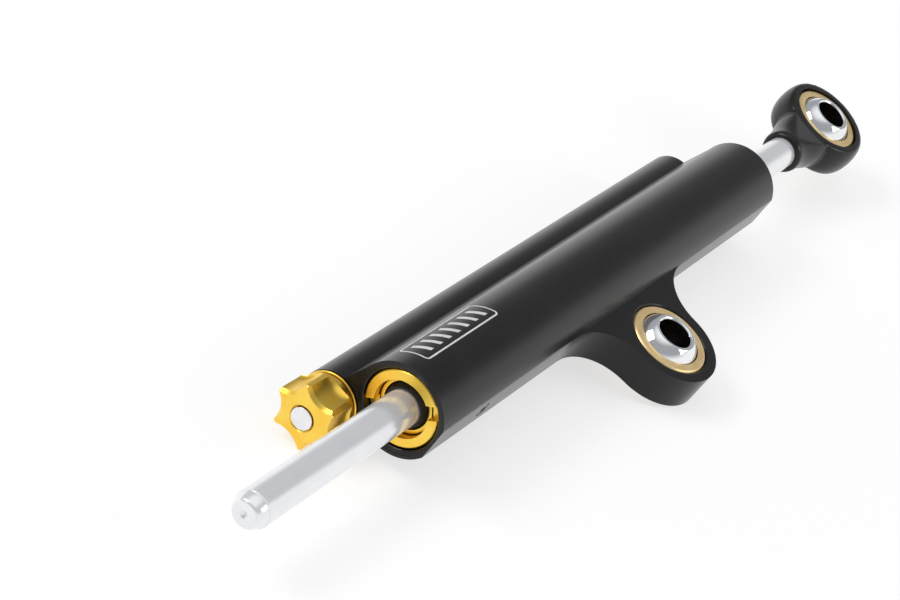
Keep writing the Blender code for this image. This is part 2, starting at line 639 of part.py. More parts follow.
def build_adjuster():
    """Bush, spindle, needle, seat, detent and seal behind the knob."""
    shaft = 2.5 * MM
    turned("adjuster_spindle",
           ring_profile([(KNOB_FRONT + 2.2 * MM, shaft), (12.3 * MM, shaft), (12.3 * MM, 3.7 * MM),
                         (14.0 * MM, 3.7 * MM), (14.0 * MM, shaft), (20.0 * MM, shaft)],
                        [(KNOB_FRONT + 2.2 * MM, 0.8 * MM), (5.0 * MM, 0.8 * MM), (5.0 * MM, 1.5 * MM),
                         (20.0 * MM, 1.5 * MM)]),
           "bright_steel", side_x(), segments=SMALL_ROUND)
    bush = turned("adjuster_bush",
                  ring_profile([(-0.8 * MM, 8.0 * MM), (-0.3 * MM, 8.2 * MM), (-0.3 * MM, 6.2 * MM),
                                (4.0 * MM, 6.2 * MM), (4.0 * MM, 5.2 * MM), (6.0 * MM, 5.2 * MM),
                                (6.0 * MM, 6.2 * MM), (12.0 * MM, 6.2 * MM)],
                               [(-0.8 * MM, shaft + GAP), (12.0 * MM, shaft + GAP)]),
                  "gold_anodised", side_x(), segments=SIDE_ROUND)
    detent = side_x() @ Matrix.Translation((0.0, 3.9 * MM, 0.0))
    pocket = rod_cutter("detent_pocket", 0.85 * MM, -2.0 * MM, 3.6 * MM, detent, segments=14)
    boolean(bush, pocket, "DIFFERENCE")
    ball_line = [(-0.55 * MM + 0.55 * MM * math.sin(a), 0.55 * MM * math.cos(a))
                 for a in (math.radians(d) for d in (-60, -30, 0, 30, 60))]
    ball_line = [(-1.1 * MM, 0.12 * MM)] + ball_line + [(0.0, 0.12 * MM)]
    turned("detent_ball", solid_profile([(p + 0.15 * MM, r) for p, r in ball_line]),
           "bright_steel", detent, closed=False, segments=12)
    add_coil("detent_spring", detent, 0.5 * MM, 0.12 * MM, 0.45 * MM, 3.3 * MM, 4, 0, "spring_steel")
    o_ring("adjuster_o_ring", 5.0 * MM, 5.82 * MM, 0.5 * MM)
    place = NEEDLE_PLACE
    needle = [(place - 13.0 * MM, 1.2 * MM), (place, 1.2 * MM), (place, 2.2 * MM),
              (place + 2.0 * MM, 2.2 * MM), (place + 2.0 * MM, 1.3 * MM), (place + 10.0 * MM, 1.3 * MM),
              (place + 14.0 * MM, 0.4 * MM)]
    turned("metering_needle", solid_profile(needle), "bright_steel", side_x(), closed=False,
           segments=SMALL_ROUND)
    turned("metering_seat",
           ring_profile([(26.0 * MM, 6.2 * MM), (38.0 * MM, 6.2 * MM)],
                        [(26.0 * MM, 2.6 * MM), (30.0 * MM, 2.6 * MM), (31.5 * MM, 1.7 * MM),
                         (38.0 * MM, 1.7 * MM)]),
           "satin_aluminium", side_x(), segments=SIDE_ROUND)


def add_coil(name, place, radius, wire, start, end, turns, sides, finish):
    """A helical spring along the local Z of its place."""
    curve = bpy.data.curves.new(name, "CURVE")
    curve.dimensions = "3D"
    curve.bevel_depth = wire
    curve.bevel_resolution = sides
    curve.use_fill_caps = True
    steps = 10
    count = turns * steps + 1
    line = curve.splines.new("POLY")
    line.points.add(count - 1)
    for index, point in enumerate(line.points):
        angle = math.tau * index / steps
        height = start + (end - start) * index / (count - 1)
        point.co = (radius * math.cos(angle), radius * math.sin(angle), height, 1.0)
    coil = bpy.data.objects.new(name, curve)
    PARTS.objects.link(coil)
    coil.parent = LYING
    coil.matrix_local = place
    curve.materials.append(FINISHES[finish])


def build_reservoir():
    """Floating piston, its spring and ring, and the end plug."""
    bore = SIDE_BORE_RADIUS
    fit = bore - GAP
    turned("reservoir_piston",
           solid_profile([(112.0 * MM, fit), (116.0 * MM, fit), (116.0 * MM, bore - 1.5 * MM),
                          (118.4 * MM, bore - 1.5 * MM), (118.4 * MM, fit), (122.0 * MM, fit)]),
           "satin_aluminium", side_x(), closed=False, segments=SIDE_ROUND)
    o_ring("reservoir_piston_o_ring", 117.2 * MM, bore - 0.78 * MM, 0.6 * MM)
    add_coil("reservoir_spring", side_x(), 4.6 * MM, 0.5 * MM, 122.9 * MM, 170.3 * MM, 7, 1, "spring_steel")
    plug = turned("reservoir_end_plug",
                  solid_profile([(171.1 * MM, fit), (178.0 * MM, fit), (178.0 * MM, bore - 1.5 * MM),
                                 (180.4 * MM, bore - 1.5 * MM), (180.4 * MM, fit),
                                 (SIDE_LENGTH - 0.9 * MM, fit), (SIDE_LENGTH - 0.4 * MM, fit - 0.5 * MM)]),
                  "gold_anodised", side_x(), closed=False, segments=SIDE_ROUND)
    socket = rod_cutter("plug_socket", 3.2 * MM, SIDE_LENGTH - 4.5 * MM, SIDE_LENGTH + 2.0 * MM,
                        side_x(), segments=6)
    boolean(plug, socket, "DIFFERENCE")
    o_ring("reservoir_plug_o_ring", 179.2 * MM, bore - 0.78 * MM, 0.6 * MM)


# --------------------------------------------------------------- lying pose

def lay_down():
    """Turn and lift the damper so that it lies on its knob and lug tip."""
    across = SIDE_Y - (LUG_Y - LUG_TIP_RADIUS)
    down = -SIDE_Z - LUG_HALF_THICKNESS
    tilt = math.atan2(down, across) + math.asin(KNOB_RADIUS / math.hypot(across, down))
    low = SIDE_Y * math.sin(tilt) + SIDE_Z * math.cos(tilt) - KNOB_RADIUS
    LYING.rotation_euler = (tilt, 0.0, 0.0)
    LYING.location = (-LIE_MIDDLE[0], -LIE_MIDDLE[1], -low)


def main():
    """Build every piece and lay the damper down."""
    build_body()
    build_bleed_screw()
    build_bearing("lug", Matrix.Translation((LUG_X, LUG_Y, 0.0)))
    build_end("near", False)
    build_end("far", True)
    build_rod_group()
    build_rod_end()
    build_knob()
    build_adjuster()
    build_reservoir()
    lay_down()
    bpy.context.view_layer.update()


main()
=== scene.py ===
"""Looks of a linear steering damper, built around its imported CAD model.

The damper's own axes are used for every shape: X runs along the rod from the
adjuster end of the body, the lug points to -Y and Z is the lug bearing's axis.
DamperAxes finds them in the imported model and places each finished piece.
"""

from __future__ import annotations

import json
import logging
import math
from dataclasses import dataclass
from enum import Enum
from typing import Iterable, Mapping, Sequence, Union

import bmesh
import bpy
from mathutils import Matrix, Vector


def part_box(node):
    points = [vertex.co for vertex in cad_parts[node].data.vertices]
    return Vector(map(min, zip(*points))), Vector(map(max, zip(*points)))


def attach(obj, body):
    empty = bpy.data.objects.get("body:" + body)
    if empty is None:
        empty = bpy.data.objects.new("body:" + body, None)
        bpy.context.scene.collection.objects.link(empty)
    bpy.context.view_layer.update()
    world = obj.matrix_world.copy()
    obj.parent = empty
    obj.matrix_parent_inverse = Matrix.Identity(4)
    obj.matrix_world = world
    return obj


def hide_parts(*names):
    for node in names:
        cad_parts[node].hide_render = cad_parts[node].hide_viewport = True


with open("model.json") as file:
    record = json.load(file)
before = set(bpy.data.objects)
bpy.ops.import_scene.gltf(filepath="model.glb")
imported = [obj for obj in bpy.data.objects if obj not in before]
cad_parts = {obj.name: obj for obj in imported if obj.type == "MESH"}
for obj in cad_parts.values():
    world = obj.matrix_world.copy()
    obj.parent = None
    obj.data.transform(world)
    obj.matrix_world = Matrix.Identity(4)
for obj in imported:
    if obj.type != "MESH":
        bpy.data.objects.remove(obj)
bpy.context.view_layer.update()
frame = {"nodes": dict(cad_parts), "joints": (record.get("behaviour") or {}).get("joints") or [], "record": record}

MM = 0.001
MICRON = 0.000001
SEALED_ROUGHNESS = 0.20
LOG = logging.getLogger("damper")

Colour = tuple[float, float, float]
Flat = tuple[float, float]
Entry = Union["Value", float, Sequence[float]]


class Slot(Enum):
    """The record's material slots."""

    BLACK = "black_anodised"
    GOLD = "gold_anodised"
    CHROME = "hard_chrome"
    ROD = "rod_chrome"
    BRONZE = "bronze"
    ALUMINIUM = "satin_aluminium"
    STEEL = "bright_steel"
    SPRING = "spring_steel"
    RUBBER = "nitrile_rubber"
    PTFE = "filled_ptfe"
    BUSH = "bush_composite"


class Cut(Enum):
    """How one solid works on another."""

    JOIN = "UNION"
    REMOVE = "DIFFERENCE"


# -------- shader maths


class Value:
    """A number that changes over a surface, written with ordinary operators."""

    def __init__(self, shader: "Shader", socket: bpy.types.NodeSocket) -> None:
        """Keep the socket and the tree that it belongs to."""
        self.shader = shader
        self.socket = socket

    def _math(self, operation: str, first: Entry, second: Entry) -> "Value":
        """Add one Math node."""
        return self.shader.node("ShaderNodeMath", {"operation": operation}, {0: first, 1: second})

    def __add__(self, other: Entry) -> "Value":
        """self + other."""
        return self._math("ADD", self, other)

    __radd__ = __add__

    def __mul__(self, other: Entry) -> "Value":
        """self * other."""
        return self._math("MULTIPLY", self, other)

    __rmul__ = __mul__

    def between(self, low: float, high: float) -> "Value":
        """Rise smoothly from 0 at low to 1 at high."""
        settings = {"interpolation_type": "SMOOTHSTEP"}
        return self.shader.node("ShaderNodeMapRange", settings, {0: self, 1: low, 2: high})


@dataclass(frozen=True)
class Spin:
    """The line that a piece was turned or ground about, in the row frame."""

    origin: Vector
    direction: Vector


class Shader:
    """One node tree, with the few steps that the finishes are made of."""

    def __init__(self, tree: bpy.types.NodeTree) -> None:
        """Start from an empty tree.

        Args:
            tree: the node tree of a material or a world.
        """
        self.tree = tree
        self.tree.nodes.clear()

    def node(self, kind: str, settings: Mapping[str, object] | None = None,
             inputs: Mapping[Union[int, str], Entry] | None = None, output: int = 0) -> Value:
        """Add a node.

        Args:
            kind: the node's type name.
            settings: its own properties, set first.
            inputs: values or links, by socket name or number.
            output: which output is wanted.

        Returns:
            The output, ready for more maths.
        """
        made = self.tree.nodes.new(kind)
        for key, setting in (settings or {}).items():
            setattr(made, key, setting)
        for key, entry in (inputs or {}).items():
            if isinstance(entry, Value):
                self.tree.links.new(entry.socket, made.inputs[key])
            else:
                made.inputs[key].default_value = entry
        found = made.outputs[output] if len(made.outputs) else made.inputs[0]
        return Value(self, found)

    def place(self) -> Value:
        """The point on the piece, in metres."""
        return self.node("ShaderNodeTexCoord", output=3)

    def noise(self, vector: Value, size: float, detail: float = 2.0) -> Value:
        """Cloudy noise from 0 to 1 whose features are about size metres wide."""
        inputs = {"Vector": vector, "Scale": 1.0 / size, "Detail": detail, "Roughness": 0.55}
        return self.node("ShaderNodeTexNoise", None, inputs)

    def along_and_out(self, place: Value, spin: Spin) -> tuple[Value, Value]:
        """Where a point is along a spin axis, and how far from it.

        Args:
            place: the point.
            spin: the axis.

        Returns:
            The distance along the axis and the distance out from it, in metres.
        """
        offset = self.node("ShaderNodeVectorMath", {"operation": "SUBTRACT"},
                           {0: place, 1: spin.origin})
        along = self.node("ShaderNodeVectorMath", {"operation": "DOT_PRODUCT"},
                          {0: offset, 1: spin.direction}, output=1)
        on_axis = self.node("ShaderNodeVectorMath", {"operation": "SCALE"},
                            {0: spin.direction, "Scale": along})
        outward = self.node("ShaderNodeVectorMath", {"operation": "SUBTRACT"},
                            {0: offset, 1: on_axis})
        out = self.node("ShaderNodeVectorMath", {"operation": "LENGTH"}, {0: outward}, output=1)
        return along, out

    def turning_lines(self, place: Value, spin: Spin, pitch: float) -> Value:
        """Fine rings left by a cutting tool, from 0 to 1.

        Args:
            place: the point.
            spin: the axis that the piece was turned about.
            pitch: the width of the finest rings in metres.

        Returns:
            The height of the rings.
        """
        along, out = self.along_and_out(place, spin)
        rings = self.node("ShaderNodeCombineXYZ", None, {0: along, 1: out})
        return self.noise(rings, pitch * 3.0, detail=3.0)

    def blend(self, share: Entry, first: Entry, second: Entry) -> Value:
        """Mix two colours."""
        settings = {"data_type": "RGBA", "clamp_factor": True}
        colours = {0: share}
        for socket, colour in ((6, first), (7, second)):
            colours[socket] = colour if isinstance(colour, Value) else (*colour, 1.0)
        return self.node("ShaderNodeMix", settings, colours, output=2)

    def bump(self, height: Value, depth: float) -> Value:
        """A normal from a height map whose full range is depth metres."""
        return self.node("ShaderNodeBump", None,
                         {"Height": height, "Distance": depth, "Strength": 1.0})

    def surface(self, inputs: Mapping[str, Entry]) -> None:
        """End the tree with a Principled surface."""
        shader = self.node("ShaderNodeBsdfPrincipled", None, inputs)
        self.node("ShaderNodeOutputMaterial", None, {"Surface": shader})


# -------- finishes


@dataclass(frozen=True)
class Finish:
    """A surface treatment: its colours, its gloss and the marks left in it.

    Args:
        slot: the record's slot that it belongs to.
        colour: the colour of most of the surface.
        tint: the colour that it drifts to in patches.
        metallic: 1 for bare or dyed metal.
        gloss: the smoothest and the roughest spot.
        patch: the size of the drifting patches, in metres.
        pitch: the width of the turning marks, in metres.
        ring_depth: the depth of the turning marks, in metres.
        grain: the size of the blasted or moulded grain, in metres.
        grain_depth: the depth of the grain, in metres.
        specular: how strongly it mirrors where it isn't metal; 0.5 is ordinary.
        sealed: how much of a clear sealed skin lies on it, from 0 to 1.
    """

    slot: Slot
    colour: Colour
    tint: Colour
    metallic: float
    gloss: Flat
    patch: float
    pitch: float
    ring_depth: float
    grain: float
    grain_depth: float
    specular: float = 0.5
    sealed: float = 0.0

    def paint(self, name: str, spin: Spin) -> bpy.types.Material:
        """Make the finish for one piece.

        Args:
            name: the material's name.
            spin: the axis that the piece was turned about.

        Returns:
            The material.
        """
        material = bpy.data.materials.new(name)
        material.use_nodes = True
        shader = Shader(material.node_tree)
        place = shader.place()
        patches = shader.noise(place, self.patch, detail=4.0)
        grain = shader.noise(place, self.grain)
        rings = shader.turning_lines(place, spin, self.pitch)
        low, high = self.gloss
        rough = low + (high - low) * (patches * 0.45 + rings * 0.35 + grain * 0.2)
        deepest = max(self.ring_depth, self.grain_depth, 0.1 * MICRON)
        height = rings * (self.ring_depth / deepest) + grain * (self.grain_depth / deepest)
        drift = (patches * 0.75 + rings * 0.25).between(0.35, 0.68)
        shader.surface({
            "Base Color": shader.blend(drift, self.colour, self.tint),
            "Metallic": self.metallic,
            "Roughness": rough,
            "Normal": shader.bump(height, deepest),
            "Specular IOR Level": self.specular,
            "Coat Weight": self.sealed,
            "Coat Roughness": SEALED_ROUGHNESS,
        })
        return material


BLACK = Finish(Slot.BLACK, (0.0085, 0.0080, 0.0082), (0.0115, 0.0107, 0.0110), 0.0, (0.24, 0.34),
               12 * MM, 0.10 * MM, 0.4 * MICRON, 0.12 * MM, 1.4 * MICRON, specular=0.16, sealed=0.32)
GOLD = Finish(Slot.GOLD, (0.98, 0.68, 0.115), (0.94, 0.58, 0.070), 1.0, (0.27, 0.40),
              6 * MM, 0.08 * MM, 1.6 * MICRON, 0.15 * MM, 0.5 * MICRON)
CHROME = Finish(Slot.CHROME, (0.90, 0.91, 0.92), (0.84, 0.86, 0.88), 0.85, (0.04, 0.10),
                5 * MM, 0.15 * MM, 0.2 * MICRON, 0.3 * MM, 0.2 * MICRON)
ROD_CHROME = Finish(Slot.ROD, (0.88, 0.885, 0.895), (0.84, 0.85, 0.87), 0.45, (0.12, 0.24),
                    8 * MM, 0.12 * MM, 0.4 * MICRON, 0.2 * MM, 0.4 * MICRON)
BRONZE = Finish(Slot.BRONZE, (0.96, 0.75, 0.40), (0.90, 0.62, 0.27), 0.65, (0.26, 0.40),
                3 * MM, 0.10 * MM, 2.5 * MICRON, 0.2 * MM, 1.0 * MICRON)
ALUMINIUM = Finish(Slot.ALUMINIUM, (0.88, 0.88, 0.90), (0.80, 0.80, 0.82), 1.0, (0.30, 0.42),
                   4 * MM, 0.10 * MM, 1.5 * MICRON, 0.1 * MM, 1.0 * MICRON)
# Dark steel for the bores of the bearing balls, kept near black partly as painted shade for the shadowed inside of
# the bore.
DARK_STEEL_AND_BORE_SHADE = Finish(Slot.CHROME, (0.030, 0.027, 0.025), (0.060, 0.050, 0.045), 1.0, (0.30, 0.45),
               1.5 * MM, 0.10 * MM, 3.0 * MICRON, 0.1 * MM, 1.0 * MICRON)
STEEL = Finish(Slot.STEEL, (0.55, 0.55, 0.56), (0.44, 0.44, 0.46), 1.0, (0.22, 0.36),
               2 * MM, 0.08 * MM, 1.0 * MICRON, 0.1 * MM, 0.6 * MICRON)
SPRING = Finish(Slot.SPRING, (0.30, 0.30, 0.32), (0.22, 0.22, 0.23), 1.0, (0.28, 0.42),
                3 * MM, 0.10 * MM, 1.0 * MICRON, 0.1 * MM, 1.2 * MICRON)
RUBBER = Finish(Slot.RUBBER, (0.016, 0.016, 0.017), (0.026, 0.026, 0.027), 0.0, (0.50, 0.68),
                3 * MM, 0.20 * MM, 3.0 * MICRON, 0.15 * MM, 3.0 * MICRON)
PTFE = Finish(Slot.PTFE, (0.050, 0.044, 0.038), (0.080, 0.070, 0.058), 0.0, (0.45, 0.60),
              2 * MM, 0.15 * MM, 2.0 * MICRON, 0.12 * MM, 2.0 * MICRON)
BUSH = Finish(Slot.BUSH, (0.36, 0.28, 0.19), (0.24, 0.18, 0.12), 0.1, (0.40, 0.55),
              2 * MM, 0.12 * MM, 2.0 * MICRON, 0.1 * MM, 2.0 * MICRON)
MARKING = Finish(Slot.BLACK, (0.74, 0.74, 0.73), (0.60, 0.60, 0.60), 0.0, (0.45, 0.60),
                 1.5 * MM, 0.10 * MM, 0.5 * MICRON, 0.08 * MM, 1.0 * MICRON)
FINISHES = {finish.slot.value: finish for finish in
            (BLACK, GOLD, CHROME, ROD_CHROME, BRONZE, ALUMINIUM, STEEL, SPRING, RUBBER, PTFE, BUSH)}


# -------- mesh work


def polar(radius: float, angle: float, centre: Flat = (0.0, 0.0)) -> Flat:
    """The point at an angle on a circle."""
    return centre[0] + radius * math.cos(angle), centre[1] + radius * math.sin(angle)


def arc(radius: float, start: float, end: float, steps: int, centre: Flat = (0.0, 0.0)) -> list[Flat]:
    """Points along an arc, both ends included."""
    return [polar(radius, start + (end - start) * i / steps, centre) for i in range(steps + 1)]


def eased(line: Sequence[Flat], size: float, closed: bool = True, steps: int = 3) -> list[Flat]:
    """Round the corners of a profile.

    Args:
        line: the profile's points.
        size: how far from a corner its rounding starts.
        closed: whether the last point joins the first.
        steps: the number of short edges in each rounded corner.

    Returns:
        The profile with its corners rounded; gentle bends are left as they are.
    """
    gentle = math.radians(20.0)
    points = [Vector(point) for point in line]
    count = len(points)
    found: list[Flat] = []
    for index, corner in enumerate(points):
        before = points[index - 1] - corner
        after = points[(index + 1) % count] - corner
        end = not closed and index in (0, count - 1)
        if end or before.angle(-after, 0.0) < gentle:
            found.append(tuple(corner))
            continue
        first = corner + before.normalized() * min(size, 0.4 * before.length)
        last = corner + after.normalized() * min(size, 0.4 * after.length)
        for step in range(steps + 1):
            share = step / steps
            point = first.lerp(corner, share).lerp(corner.lerp(last, share), share)
            found.append(tuple(point))
    return found


def as_object(name: str, shape: bmesh.types.BMesh, place: Matrix) -> bpy.types.Object:
    """Close a bmesh, move it to its place and link it.

    Args:
        name: the object's name.
        shape: the mesh being made, which is freed.
        place: where it goes, in the row frame.

    Returns:
        The object, at the origin, with its place in its mesh.
    """
    bmesh.ops.remove_doubles(shape, verts=shape.verts, dist=0.1 * MICRON)
    bmesh.ops.recalc_face_normals(shape, faces=shape.faces)
    bmesh.ops.transform(shape, matrix=place, verts=shape.verts)
    mesh = bpy.data.meshes.new(name)
    shape.to_mesh(mesh)
    shape.free()
    piece = bpy.data.objects.new(name, mesh)
    bpy.context.scene.collection.objects.link(piece)
    return piece


def lathe(name: str, line: Sequence[Flat], place: Matrix, steps: int = 96) -> bpy.types.Object:
    """Turn a profile about the local Z of its place.

    Args:
        name: the object's name.
        line: points as (place along the axis, radius). A solid's profile starts and ends on
            the axis, and any other is closed into a ring.
        place: where the axis is.
        steps: the number of flats round it.

    Returns:
        The turned piece.
    """
    shape = bmesh.new()
    rings = []
    for along, radius in line:
        if radius < MICRON:
            rings.append([shape.verts.new((0.0, 0.0, along))])
            continue
        turn = [polar(radius, math.tau * step / steps) for step in range(steps)]
        rings.append([shape.verts.new((a, b, along)) for a, b in turn])
    ring = line[0][1] > MICRON
    following = rings[1:] + rings[:1] if ring else rings[1:]
    for low, high in zip(rings, following):
        for step in range(steps):
            corners = [turn[index % len(turn)] for turn, index in
                       ((low, step), (low, step + 1), (high, step + 1), (high, step))]
            unique = list(dict.fromkeys(corners))
            if len(unique) > 2:
                shape.faces.new(unique)
    return as_object(name, shape, place)


def solid(line: Sequence[Flat]) -> list[Flat]:
    """Close a profile on its axis at both ends."""
    return [(line[0][0], 0.0), *line, (line[-1][0], 0.0)]


def prism(name: str, outline: Sequence[Flat], low: float, high: float, place: Matrix) -> bpy.types.Object:
    """Extrude an outline along the local Z of its place.

    Args:
        name: the object's name.
        outline: points as (local x, local y).
        low: where it starts along the local Z.
        high: where it ends.
        place: where the local axes are.

    Returns:
        The extruded solid.
    """
    shape = bmesh.new()
    bottom = [shape.verts.new((a, b, low)) for a, b in outline]
    top = [shape.verts.new((a, b, high)) for a, b in outline]
    shape.faces.new(bottom)
    shape.faces.new(top)
    count = len(outline)
    for index in range(count):
        after = (index + 1) % count
        shape.faces.new((bottom[index], bottom[after], top[after], top[index]))
    return as_object(name, shape, place)


def settle(piece: bpy.types.Object) -> None:
    """Turn a piece's modifiers into plain mesh."""
    graph = bpy.context.evaluated_depsgraph_get()
    worked = bpy.data.meshes.new_from_object(piece.evaluated_get(graph))
    piece.modifiers.clear()
    piece.data = worked


def work(piece: bpy.types.Object, tool: bpy.types.Object, cut: Cut) -> None:
    """Join a solid to a piece, or cut it away.

    Args:
        piece: the piece that changes.
        tool: the other solid, which is used up.
        cut: what to do with it.
    """
    step = piece.modifiers.new("work", "BOOLEAN")
    step.operation = cut.value
    step.solver = "EXACT"
    step.object = tool
    settle(piece)
    bpy.data.objects.remove(tool)


def bore(piece: bpy.types.Object, line: Sequence[Flat], place: Matrix, steps: int = 96) -> None:
    """Cut a turned hole.

    Args:
        piece: the piece that is bored.
        line: the hole's profile, as (place along the axis, radius).
        place: where the axis is.
        steps: the number of flats round it.
    """
    work(piece, lathe("drill", solid(line), place, steps), Cut.REMOVE)


def break_edges(piece: bpy.types.Object, width: float, steps: int = 2) -> None:
    """Take the sharp edges off a machined piece.

    Args:
        piece: the piece.
        width: the width of the broken edge.
        steps: the number of flats across it.
    """
    bevel = piece.modifiers.new("edges", "BEVEL")
    bevel.width = width
    bevel.segments = steps
    bevel.limit_method = "ANGLE"
    bevel.angle_limit = math.radians(32.0)
    bevel.miter_outer = "MITER_ARC"
    settle(piece)


def polish(piece: bpy.types.Object, sharp: float, weigh: bool) -> None:
    """Shade a piece smoothly between its real edges.

    Args:
        piece: the piece.
        sharp: edges sharper than this many degrees stay crisp.
        weigh: whether the large faces set the normals at their edges.
    """
    piece.data.shade_smooth()
    piece.data.set_sharp_from_angle(angle=math.radians(sharp))
    if weigh:
        weight = piece.modifiers.new("normals", "WEIGHTED_NORMAL")
        weight.keep_sharp = True
        weight.weight = 90
        settle(piece)


# -------- the frame


@dataclass(frozen=True)
class DamperAxes:
    """The damper's own axes and key places, in metres along those axes.

    Args:
        matrix: from the damper's axes to the row frame.
        lug: the centre of the lug bearing.
        rod_end: the centre of the rod end's bearing.
        rod_end_up: the axis of the rod end's bearing.
        side: a point on the axis of the side tube.
    """

    matrix: Matrix
    lug: Vector
    rod_end: Vector
    rod_end_up: Vector
    side: Vector

    @classmethod
    def from_frame(cls) -> "DamperAxes":
        """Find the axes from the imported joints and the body's box."""
        joints = {joint["name"]: joint for joint in frame["joints"]}
        up = Vector(joints["lug_bearing_swing"]["axis"]).normalized()
        along = Vector((1.0, 0.0, 0.0))
        origin = Vector(joints["rod_turn"]["pos_m"])
        origin.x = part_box("body")[0].x
        matrix = Matrix((along, up.cross(along), up)).transposed().to_4x4()
        matrix.translation = origin
        inverse = matrix.inverted()
        return cls(
            matrix,
            inverse @ Vector(joints["lug_bearing_swing"]["pos_m"]),
            inverse @ Vector(joints["rod_end_swing"]["pos_m"]),
            inverse.to_3x3() @ Vector(joints["rod_end_swing"]["axis"]).normalized(),
            inverse @ Vector(joints["knob_turn"]["pos_m"]),
        )

    def at(self, x: float = 0.0, y: float = 0.0, z: float = 0.0) -> Matrix:
        """Axes parallel to the damper's own, at a place on it."""
        return self.matrix @ Matrix.Translation((x, y, z))

    def on_x(self, x: float = 0.0, y: float = 0.0, z: float = 0.0) -> Matrix:
        """A lathe axis along the damper's X, through (y, z)."""
        return self.at(x, y, z) @ Matrix.Rotation(math.pi / 2, 4, "Y")

    def on_side(self) -> Matrix:
        """A lathe axis along the side tube."""
        return self.on_x(0.0, self.side.y, self.side.z)

    def section(self) -> Matrix:
        """A drawing plane across the damper: local x is Y, local y is Z, local z is X."""
        return self.matrix @ Matrix(((0, 0, 1, 0), (1, 0, 0, 0), (0, 1, 0, 0), (0, 0, 0, 1)))

    def spin(self, place: Matrix) -> Spin:
        """The turning axis of a piece made at a place."""
        return Spin(place.translation.copy(), (place.to_3x3() @ Vector((0.0, 0.0, 1.0))).normalized())

    def inner(self, node: str) -> Flat:
        """Where a node starts and ends along the damper's X."""
        low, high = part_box(node)
        start = self.matrix.translation.x
        return low.x - start, high.x - start


class Assembly:
    """What every sub-assembly does with its finished pieces."""

    def __init__(self, axes: DamperAxes) -> None:
        """Keep the damper's axes and start an empty list of pieces."""
        self.axes = axes
        self.pieces: list[str] = []

    def add(self, piece: bpy.types.Object, body: str, finish: Finish, place: Matrix,
            *nodes: str, sharp: float = 30.0, weigh: bool = False) -> None:
        """Polish a piece and give it its finish, its body and the nodes that it stands for.

        Args:
            piece: the finished mesh.
            body: the CAD body that it moves with.
            finish: its surface.
            place: the place whose local Z it was turned about.
            nodes: the CAD nodes that it replaces.
            sharp: edges sharper than this many degrees stay crisp.
            weigh: whether the large faces set the normals at their edges.
        """
        polish(piece, sharp, weigh)
        piece.data.materials.clear()
        piece.data.materials.append(finish.paint(piece.name, self.axes.spin(place)))
        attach(piece, body)
        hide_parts(*nodes)
        self.pieces.append(piece.name)

    def report(self) -> None:
        """Log the pieces that were made."""
        LOG.info("%s: %s", type(self).__name__, ", ".join(self.pieces))


# -------- sub-assemblies


